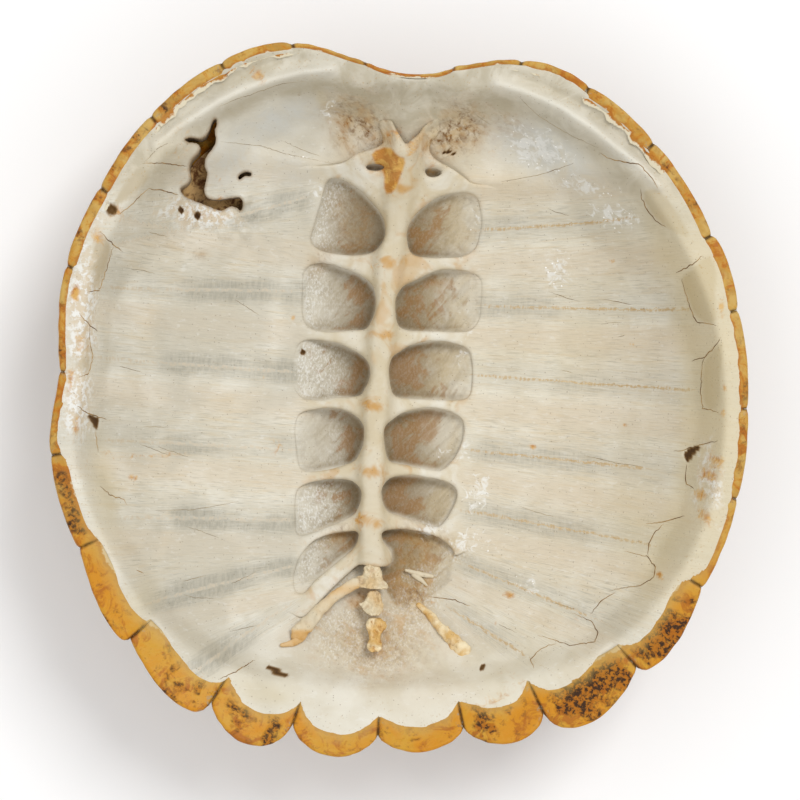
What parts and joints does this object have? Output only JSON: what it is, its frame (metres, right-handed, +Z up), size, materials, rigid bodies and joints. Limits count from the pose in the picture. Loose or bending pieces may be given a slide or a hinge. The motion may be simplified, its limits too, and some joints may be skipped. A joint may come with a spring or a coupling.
{
  "type": "snapping turtle shell",
  "caption": "Cleaned and dried upper shell of a large snapping turtle, lying on its back, with its bony inside, backbone and rib arches showing and horn scutes round the rim.",
  "frame": {"origin": "on the surface under the middle of the shell's outline", "axes": "+Z up out of the hollow of the shell, +Y towards the head end, +X towards the animal's left side (the shell lies on its back)"},
  "size_m": [0.3309, 0.3386, 0.0915],
  "materials": {
    "bone": "dry matt bone",
    "ochre_bone": "dry stained bone",
    "amber_horn": "satin amber horn",
    "dark_horn": "dull dark horn"
  },
  "bodies": {
    "root": {"carapace_bone": "bone", "nuchal_scute": "amber_horn", "marginal_scute_left_1": "amber_horn", "marginal_scute_left_2": "amber_horn", "marginal_scute_left_3": "amber_horn", "marginal_scute_left_4": "amber_horn", "marginal_scute_left_5": "amber_horn", "marginal_scute_left_6": "amber_horn", "marginal_scute_left_7": "amber_horn", "marginal_scute_left_8": "amber_horn", "marginal_scute_left_9": "amber_horn", "marginal_scute_left_10": "amber_horn", "marginal_scute_left_11": "amber_horn", "marginal_scute_left_12": "amber_horn", "marginal_scute_right_1": "amber_horn", "marginal_scute_right_2": "amber_horn", "marginal_scute_right_3": "amber_horn", "marginal_scute_right_4": "amber_horn", "marginal_scute_right_5": "amber_horn", "marginal_scute_right_6": "amber_horn", "marginal_scute_right_7": "amber_horn", "marginal_scute_right_8": "amber_horn", "marginal_scute_right_9": "amber_horn", "marginal_scute_right_10": "amber_horn", "marginal_scute_right_11": "amber_horn", "marginal_scute_right_12": "amber_horn", "vertebral_scute_1": "dark_horn", "vertebral_scute_2": "dark_horn", "vertebral_scute_3": "dark_horn", "vertebral_scute_4": "dark_horn", "vertebral_scute_5": "dark_horn", "costal_scute_left_1": "dark_horn", "costal_scute_left_2": "dark_horn", "costal_scute_left_3": "dark_horn", "costal_scute_left_4": "dark_horn", "costal_scute_right_1": "dark_horn", "costal_scute_right_2": "dark_horn", "costal_scute_right_3": "dark_horn", "costal_scute_right_4": "dark_horn", "sacral_vertebra_1": "ochre_bone", "sacral_vertebra_2": "ochre_bone", "tail_vertebra": "ochre_bone", "sacral_rib_right": "ochre_bone"}
  },
  "joints": []
}
